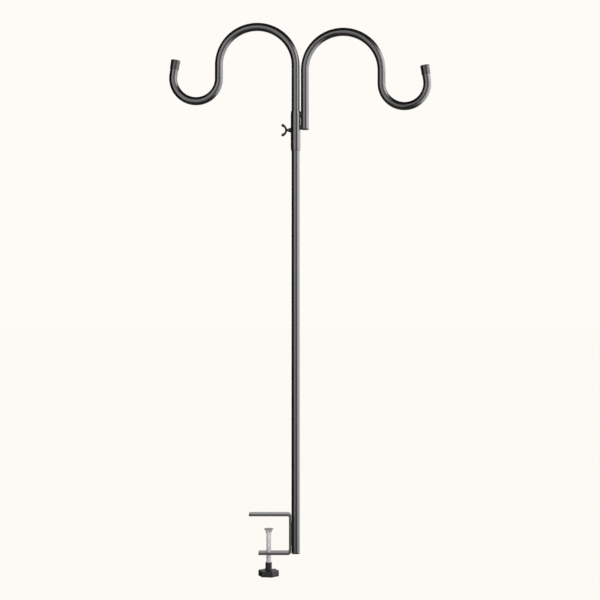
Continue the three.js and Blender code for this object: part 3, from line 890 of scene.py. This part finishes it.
# %% Cast the head of the wing screw
EAR_STEPS = 64
EAR_SIDES = 32
CAST_VOXEL = 0.0002
CAST_SMOOTHING = 6
HUB_TAPER = 0.9
HUB_EDGE = 0.001
HUB_TOP = 0.0016
SOCKET_PAST = 0.001
ear_rings = []
for step in range(EAR_STEPS + 1):
    along = (1 - math.cos(math.pi * step / EAR_STEPS)) / 2
    angle = ear_half_angle * (2 * along - 1)
    height, thickness = ear_sizes(along)
    out = EAR_MIDDLE_OUT + ear_bow * (1 - math.cos(angle))
    middle = Vector((ear_bow * math.sin(angle), 0, out))
    across = Vector((-math.sin(angle), 0, math.cos(angle)))
    ear_ring = []
    for side in range(EAR_SIDES):
        turn = 2 * math.pi * side / EAR_SIDES
        offset = across * height * math.cos(turn) + Vector((0, thickness * math.sin(turn), 0))
        ear_ring.append(wing_axis @ (middle + offset))
    ear_rings.append(ear_ring)
hub = turned([
    (0, HUB_START, 0),
    (HUB_RADIUS, HUB_START, 0.0005),
    (HUB_RADIUS * HUB_TAPER, EAR_MIDDLE_OUT + HUB_EDGE, 0.001),
    (0, EAR_MIDDLE_OUT + HUB_TOP, 0),
], wing_axis)
socket_start = HUB_START - SOCKET_PAST
socket_end = HUB_START + STUB_LENGTH
socket_radius = STUB_RADIUS + TURN_GAP
socket = turned([
    (0, socket_start, 0),
    (socket_radius, socket_start, 0),
    (socket_radius, socket_end, 0),
    (0, socket_end, 0),
], wing_axis)
casting = cast([skin(ear_rings), hub], CAST_VOXEL, CAST_SMOOTHING)
wing_head_mesh = drilled(casting, socket)
fit("wing_screw_ears", wing_head_mesh, "matt_powder", "wing_head", "wing_screw_head")

# %% [markdown]
# ## The clamp
#
# The bracket is one flat bar, bent twice. Hot rolled bar has edges that are slightly round, and the
# jaws' free corners are ground off. The bar is skinned along its middle line with a section that
# narrows at both tips, and the hole for the screw is then drilled with a boolean.

# %% The bar's middle line
bracket_low, bracket_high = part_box("clamp_bracket")
BAR = bracket_high.z
HALF_BAR = BAR / 2
HALF_WIDTH = (bracket_high.y - bracket_low.y) / 2
JAW_OPENING = -bracket_low.z - BAR
PLATE_MIDDLE = bracket_high.x - HALF_BAR
UPPER_TIP = bracket_low.x
LOWER_TIP = -0.0194
BEND_INSIDE = 0.0025
BEND_MIDDLE = BEND_INSIDE + HALF_BAR
BAR_CORNER = 0.003
BAR_EDGE = 0.0004
# The most of the bar's half thickness that its round edge takes, so that some flat is left.
NEARLY_ALL = 0.98
CORNER_STEPS = 8


def bar_section(half_width, half_bar):
    """A flat section with round edges: pairs of (across the bar's thickness, across its width)."""
    edge = min(BAR_EDGE, half_bar * NEARLY_ALL)
    points = []
    for quarter, (up, out) in enumerate(((1, 1), (-1, 1), (-1, -1), (1, -1))):
        for step in range(ROUNDING_STEPS + 1):
            angle = math.pi / 2 * (quarter + step / ROUNDING_STEPS)
            middle_up = up * (half_bar - edge)
            middle_out = out * (half_width - edge)
            points.append((middle_up + edge * math.cos(angle), middle_out + edge * math.sin(angle)))
    return points


def tip_stations(x, z, heading, growing):
    """Stations at a jaw's tip, where the corners are round: (x, z, heading, half width, half bar)."""
    sign = 1 if growing else -1
    stations = []
    for step in range(CORNER_STEPS + 1):
        angle = math.pi / 2 * step / CORNER_STEPS
        inwards = BAR_CORNER * (1 - math.cos(angle))
        half_width = HALF_WIDTH - BAR_CORNER * (1 - math.sin(angle))
        into_edge = min(inwards, BAR_EDGE)
        slope = math.sqrt(BAR_EDGE ** 2 - (BAR_EDGE - into_edge) ** 2)
        half_bar = HALF_BAR - BAR_EDGE + slope
        at_x = x + sign * inwards * math.cos(heading)
        at_z = z + sign * inwards * math.sin(heading)
        stations.append((at_x, at_z, heading, half_width, half_bar))
    return stations if growing else stations[::-1]


def bar_line():
    """Stations from the upper jaw's tip, down the back plate, to the lower jaw's tip."""
    bend_x = PLATE_MIDDLE - BEND_MIDDLE
    upper_z = HALF_BAR
    lower_z = -JAW_OPENING - HALF_BAR
    full = (HALF_WIDTH, HALF_BAR)
    corners = bend(bend_x, upper_z - BEND_MIDDLE, BEND_MIDDLE, math.pi / 2, 0)
    corners += bend(bend_x, lower_z + BEND_MIDDLE, BEND_MIDDLE, 0, -math.pi / 2)
    line = tip_stations(UPPER_TIP, upper_z, 0, True)
    line += [(*station, *full) for station in corners]
    line += tip_stations(LOWER_TIP, lower_z, -math.pi, False)
    return line


# %% Bend the bar and drill it
SCREW_RADIUS = 0.00485
HOLE_GAP = 0.0002
HOLE_CHAMFER = 0.0005
DRILL_PAST = 0.002
upright = Matrix.Identity(4)
bar_rings = []
for x, z, heading, half_width, half_bar in bar_line():
    up = Vector((-math.sin(heading), 0, math.cos(heading)))
    middle = Vector((x, 0, z))
    section = bar_section(half_width, half_bar)
    bar_rings.append([middle + up * across + Vector((0, out, 0)) for across, out in section])
hole_radius = SCREW_RADIUS + HOLE_GAP
jaw_top = -JAW_OPENING
jaw_bottom = jaw_top - BAR
drill_wide = hole_radius + HOLE_CHAMFER + DRILL_PAST
drill = turned([
    (0, jaw_bottom - DRILL_PAST, 0),
    (drill_wide, jaw_bottom - DRILL_PAST, 0),
    (hole_radius, jaw_bottom + HOLE_CHAMFER, 0),
    (hole_radius, jaw_top - HOLE_CHAMFER, 0),
    (drill_wide, jaw_top + DRILL_PAST, 0),
    (0, jaw_top + DRILL_PAST, 0),
], upright, THREAD_SIDES)
fit("clamp_bar", drilled(skin(bar_rings), drill), "powder_coat", "post", "clamp_bracket")

# %% [markdown]
# The clamp screw is an M10 stud. Its ball end is snapped into a trumpet-shaped pad, which stays still on
# the rail while the screw turns. The pad's face is turned slightly hollow, so that it bites with its
# rim. Both are turned parts, so their outlines are drawn once and spun, and the flare of the pad is a
# cube curve rather than an arc, because it opens late.

# %% Clamp screw
screw_low, screw_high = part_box("clamp_screw")
SCREW_PITCH = 0.0015
NECK_RADIUS = 0.0026
BALL_RADIUS = 0.0037
BALL_STEPS = 12
screw_shoulder = pad_low.z - TURN_GAP
screw_root = thread_root(SCREW_RADIUS, SCREW_PITCH)
ball_middle = screw_high.z - BALL_RADIUS
neck_angle = -math.acos(NECK_RADIUS / BALL_RADIUS)
ball_end = [(screw_root, screw_shoulder), (NECK_RADIUS, screw_shoulder)]
for step in range(BALL_STEPS + 1):
    angle = neck_angle + (math.pi / 2 - neck_angle) * step / BALL_STEPS
    radius = max(0, BALL_RADIUS * math.cos(angle))
    ball_end.append((radius, ball_middle + BALL_RADIUS * math.sin(angle)))
stud_mesh = heaped([
    thread_mesh(SCREW_RADIUS, SCREW_PITCH, screw_low.z, screw_shoulder, upright),
    end_mesh(upright, [(screw_root, screw_low.z), (0, screw_low.z)]),
    end_mesh(upright, ball_end),
])
fit("clamp_stud", stud_mesh, "zinc", "clamp_screw", "clamp_screw")

# %% Pad
PAD_RADIUS = (pad_high.x - pad_low.x) / 2
PAD_NECK = 0.0054
PAD_LAND = 0.0016
PAD_SLOPE = 0.0012
PAD_DISH = 0.0005
PAD_ROOF = 0.0018
PAD_CRIMP = 0.0009
PAD_CRIMP_SLOPE = 0.0005
PAD_CHAMFER = 0.0003
FLARE_STEPS = 12
pad_mouth = NECK_RADIUS + TURN_GAP
pad_cavity = BALL_RADIUS + TURN_GAP
cavity_high = pad_high.z - PAD_ROOF
flare_low = pad_low.z + PAD_CHAMFER
flare_high = pad_high.z - PAD_RIM
flare_reach = PAD_RADIUS - PAD_CHAMFER
dish_reach = PAD_RADIUS - PAD_LAND
pad_outline = [
    (0, cavity_high, 0),
    (pad_cavity, cavity_high, 0.0003),
    (pad_cavity, pad_low.z + PAD_CRIMP + PAD_CRIMP_SLOPE, 0),
    (pad_mouth, pad_low.z + PAD_CRIMP, 0),
    (pad_mouth, pad_low.z, 0),
    (PAD_NECK - PAD_CHAMFER, pad_low.z, 0),
]
for step in range(FLARE_STEPS + 1):
    up = step / FLARE_STEPS
    radius = PAD_NECK + (flare_reach - PAD_NECK) * up ** 3
    pad_outline.append((radius, flare_low + (flare_high - flare_low) * up, 0))
pad_outline += [
    (PAD_RADIUS, flare_high + PAD_CHAMFER, 0.0002),
    (PAD_RADIUS, pad_high.z, 0.0004),
    (dish_reach, pad_high.z, 0.0003),
    (dish_reach - PAD_SLOPE, pad_high.z - PAD_DISH, 0.0006),
    (0, pad_high.z - PAD_DISH, 0),
]
# The pad's rim carries a painted dark reflection.
fit("clamp_swivel_pad", turned(pad_outline, upright), "zinc_painted_dark_rim", "clamp_pad", "clamp_pad")

# %% [markdown]
# ## The hand knob
#
# The knob is a moulding with six sides that dip a little between round corners, a sloping shoulder and
# a long neck. Its outline is written as one function of the angle, and every ring of the body is that
# outline, drawn in by as much as the edge is round at that height.

# %% The knob's outline
knob_low, knob_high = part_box("clamp_knob")
KNOB_CORNERS = 6
KNOB_REACH = 0.0201
KNOB_CORNER = 0.0022
KNOB_DIP = 0.0007
KNOB_TURN = math.radians(-71)
knob_step = 2 * math.pi / KNOB_CORNERS
corner_middle = KNOB_REACH - KNOB_CORNER
face_middle = corner_middle * math.cos(knob_step / 2) + KNOB_CORNER
half_face = corner_middle * math.sin(knob_step / 2)


def knob_reach(angle):
    """How far the knob's side stands from its axis in this direction."""
    from_face = math.remainder(angle - KNOB_TURN - knob_step / 2, knob_step)
    along = face_middle * math.tan(from_face)
    if abs(along) < half_face:
        dip = KNOB_DIP * math.cos(math.pi / 2 * along / half_face) ** 2
        return (face_middle - dip) / math.cos(from_face)
    from_corner = knob_step / 2 - abs(from_face)
    across = corner_middle * math.sin(from_corner)
    return corner_middle * math.cos(from_corner) + math.sqrt(KNOB_CORNER ** 2 - across ** 2)


def hexagon_reach(corner):
    """The same for a plain hexagon."""
    flat = corner * math.cos(math.pi / 6)
    return lambda angle: flat / math.cos(math.remainder(angle - math.pi / 6, math.pi / 3))


# %% Mould the knob
KNOB_SIDES = 144
KNOB_BODY = 0.0115
KNOB_BODY_HIGH = knob_low.z + KNOB_BODY
KNOB_EDGE = 0.0011
KNOB_EDGE_STEPS = 5
KNOB_SHOULDER = 0.013
KNOB_SLOPE = 0.0014
KNOB_NECK = 0.00625
# The recess in the knob's underside, and the pocket inside that holds the steel insert.
RECESS_DEPTH = 0.0008
RECESS_FLOOR = 0.0105
RECESS_MOUTH = 0.0118
POCKET_FLOOR = 0.0022
POCKET_DEPTH = 0.0071
POCKET_LOW = knob_low.z + POCKET_FLOOR
POCKET_HIGH = POCKET_LOW + POCKET_DEPTH
POCKET_CORNER = 0.0098
BORE = SCREW_RADIUS + FIT_GAP


def drawn_in(amount):
    return lambda angle: knob_reach(angle) - amount


def knob_ring(reach, height):
    return ring(reach, height, upright, KNOB_SIDES)


knob_rings = [
    knob_ring(0, knob_low.z + RECESS_DEPTH),
    knob_ring(RECESS_FLOOR, knob_low.z + RECESS_DEPTH),
    knob_ring(RECESS_MOUTH, knob_low.z),
]
for middle, first in ((knob_low.z + KNOB_EDGE, -90), (KNOB_BODY_HIGH - KNOB_EDGE, 0)):
    for step in range(KNOB_EDGE_STEPS + 1):
        angle = math.radians(first + 90 * step / KNOB_EDGE_STEPS)
        inset = KNOB_EDGE * (1 - math.cos(angle))
        knob_rings.append(knob_ring(drawn_in(inset), middle + KNOB_EDGE * math.sin(angle)))
neck_outline = rounded([
    (KNOB_SHOULDER + 0.001, KNOB_BODY_HIGH, 0),
    (KNOB_SHOULDER, KNOB_BODY_HIGH, 0.0008),
    (KNOB_NECK, KNOB_BODY_HIGH + KNOB_SLOPE, 0.001),
    (KNOB_NECK, knob_high.z, 0.0006),
    (BORE, knob_high.z, 0.0003),
    (BORE, POCKET_HIGH, 0),
])
knob_rings += [knob_ring(point.x, point.y) for point in neck_outline]
knob_rings.append(knob_ring(hexagon_reach(POCKET_CORNER), POCKET_HIGH))
knob_rings.append(knob_ring(hexagon_reach(POCKET_CORNER), POCKET_LOW))
knob_rings.append(knob_ring(0, POCKET_LOW))
fit("hand_knob", skin(knob_rings), "black_plastic", "clamp_screw", "clamp_knob")

# %% [markdown]
# ## Pieces that keep their solid
#
# The spigot inside the joint and the steel insert inside the knob are plain pieces that only show when
# the stand is taken apart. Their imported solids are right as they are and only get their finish.

# %% Finish the hidden pieces
for solid in ("joint_spigot", "knob_insert"):
    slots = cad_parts[solid].data.materials
    slots.clear()
    slots.append(FINISHES["zinc"])
    print(solid, "is finished in", slots[0].name)

# %% [markdown]
# ## The studio
#
# Black gloss shows nothing but what stands round it. The tubes in the photograph show a tall bright
# panel on the right that reaches round behind them, a softer one in front, a dark strip between the two,
# and nothing but dark on the left. The same panels stand here as cards, each brighter further up. Area
# lights were the other choice, but they would light the plain colours too. Only reflections see the
# cards, so they shape the gloss alone, and a soft sun and an even sky light the rest, at a level where
# white is white.

# %% Cards that only reflections see
FLOOR_Z = -0.42
CARD_AWAY = 1.7
CARD_FOOT = FLOOR_Z + 0.02
CARD_TOP = 2.75
FULL_HEIGHT = 1.2
STAGE_MIDDLE = Vector((0.06, 0, 0))
CARD_FADE = 0.15
# name, from and to in degrees (0 is towards the camera, 90 to its right), brightness low and high, and
# the height above which it is dark
CARDS = (
    ("front_left_card", -47, -26, 1.80, 3.00, 1.9),
    ("front_card", -26, 11, 1.05, 2.10, 1.9),
    ("front_flag", 11, 35, 0.00, 0.10, 1.9),
    ("right_card", 35, 62, 1.80, 4.00, 1.9),
    ("side_card", 62, 102, 2.90, 5.70, 1.9),
    ("far_side_card", 102, 140, 2.10, 2.50, 1.9),
    ("back_card", 140, 215, 0.00, 1.30, 1.4),
    ("left_flag", 215, 313, 0.00, 0.00, 1.9),
)
# name, height and brightness of the level flags that close the ring of cards
FLAGS = (
    ("top_flag", CARD_TOP + 0.05, 0.00),
    ("floor_flag", FLOOR_Z + 0.01, 0.12),
)
FLAG_REACH = 2
UNLIT = (0.0, 0.0, 0.0, 1.0)


def card_material(name, low, high, top):
    """A card whose brightness changes from the floor up and ends at its top."""
    shader = Shader(bpy.data.materials.new(name), "ShaderNodeOutputMaterial")
    place = shader.node("TexCoord", {}, {}, "Object")
    height = shader.node("SeparateXYZ", {}, {"Vector": place}, "Z")
    span = {"Value": height, "From Min": FLOOR_Z, "From Max": FULL_HEIGHT}
    up = shader.node("MapRange", {}, span)
    lit = shader.blend(up, (low, low, low, 1), (high, high, high, 1))
    glow = shader.blend(height.above(top, CARD_FADE), lit, UNLIT)
    return shader.finish(shader.node("Emission", {}, {"Color": glow}))


def stage_object(name, corners, material):
    mesh = bpy.data.meshes.new(name)
    mesh.from_pydata(corners, [], [range(len(corners))])
    mesh.materials.append(material)
    thing = bpy.data.objects.new(name, mesh)
    bpy.context.scene.collection.objects.link(thing)
    return thing


def only_reflected(thing):
    thing.visible_camera = False
    thing.visible_diffuse = False
    thing.visible_transmission = False
    thing.visible_volume_scatter = False
    thing.visible_shadow = False


def on_circle(degrees, height):
    angle = math.radians(degrees)
    across = (CARD_AWAY * math.sin(angle), -CARD_AWAY * math.cos(angle))
    return STAGE_MIDDLE + Vector((*across, height))


def square(reach, height):
    """The corners of a level square, this far out to each side of the origin."""
    return [Vector((x * reach, y * reach, height)) for x, y in ((-1, -1), (1, -1), (1, 1), (-1, 1))]


for name, start, end, low, high, top in CARDS:
    corners = [on_circle(start, CARD_FOOT), on_circle(end, CARD_FOOT)]
    corners += [on_circle(end, CARD_TOP), on_circle(start, CARD_TOP)]
    only_reflected(stage_object(name, corners, card_material(name, low, high, top)))
for name, height, level in FLAGS:
    corners = [STAGE_MIDDLE + corner for corner in square(FLAG_REACH, height)]
    only_reflected(stage_object(name, corners, card_material(name, level, level, CARD_TOP)))

# %% [markdown]
# The ground and the sky share one cream white. Camera, glossy and transmission rays see that colour
# itself, while light that bounces diffusely sees an even neutral sky. The floor is part plain paint, to
# keep the stand's shadow.

# %% Floor, sky and sun
CREAM = (0.991, 0.965, 0.922, 1.0)
NEUTRAL = (1.0, 0.99, 0.975, 1.0)
SKY_LEVEL = 0.45
SUN_LEVEL = 2.1
SUN_SOFTNESS = math.radians(24)
SUN_LEAN = math.radians(38)
SUN_TURN = math.radians(28)
FLOOR_REACH = 40
SHADOW_SHARE = 0.45


def seen_directly(shader):
    """1 for camera, glossy and transmission rays, and 0 for the rest."""
    kinds = ("Camera", "Glossy", "Transmission")
    rays = [shader.node("LightPath", {}, {}, f"Is {kind} Ray") for kind in kinds]
    return rays[0] + rays[1] + rays[2]


def floor_material():
    shader = Shader(bpy.data.materials.new("studio_floor"), "ShaderNodeOutputMaterial")
    paint = shader.node("BsdfDiffuse", {}, {"Color": CREAM})
    glow = shader.node("Emission", {}, {"Color": CREAM, "Strength": 1.0})
    share = seen_directly(shader) * (1 - SHADOW_SHARE)
    return shader.finish(shader.node("MixShader", {}, {0: share, 1: paint, 2: glow}))


stage_object("studio_floor", square(FLOOR_REACH, FLOOR_Z), floor_material())

sky = bpy.data.worlds.new("studio_sky")
bpy.context.scene.world = sky
shader = Shader(sky, "ShaderNodeOutputWorld")
direct = seen_directly(shader)
colour = shader.blend(direct, NEUTRAL, CREAM)
level = direct + (1 - direct) * SKY_LEVEL
shader.finish(shader.node("Background", {}, {"Color": colour, "Strength": level}))

sun = bpy.data.objects.new("sun", bpy.data.lights.new("sun", "SUN"))
bpy.context.scene.collection.objects.link(sun)
sun.data.energy = SUN_LEVEL
sun.data.angle = SUN_SOFTNESS
sun.rotation_euler = (SUN_LEAN, 0, SUN_TURN)
sun.visible_glossy = False

# %% [markdown]
# ## Colours as written
#
# Last, the colours are shown as they are written.

# %% Show the colours as written
bpy.context.scene.view_settings.view_transform = "Standard"
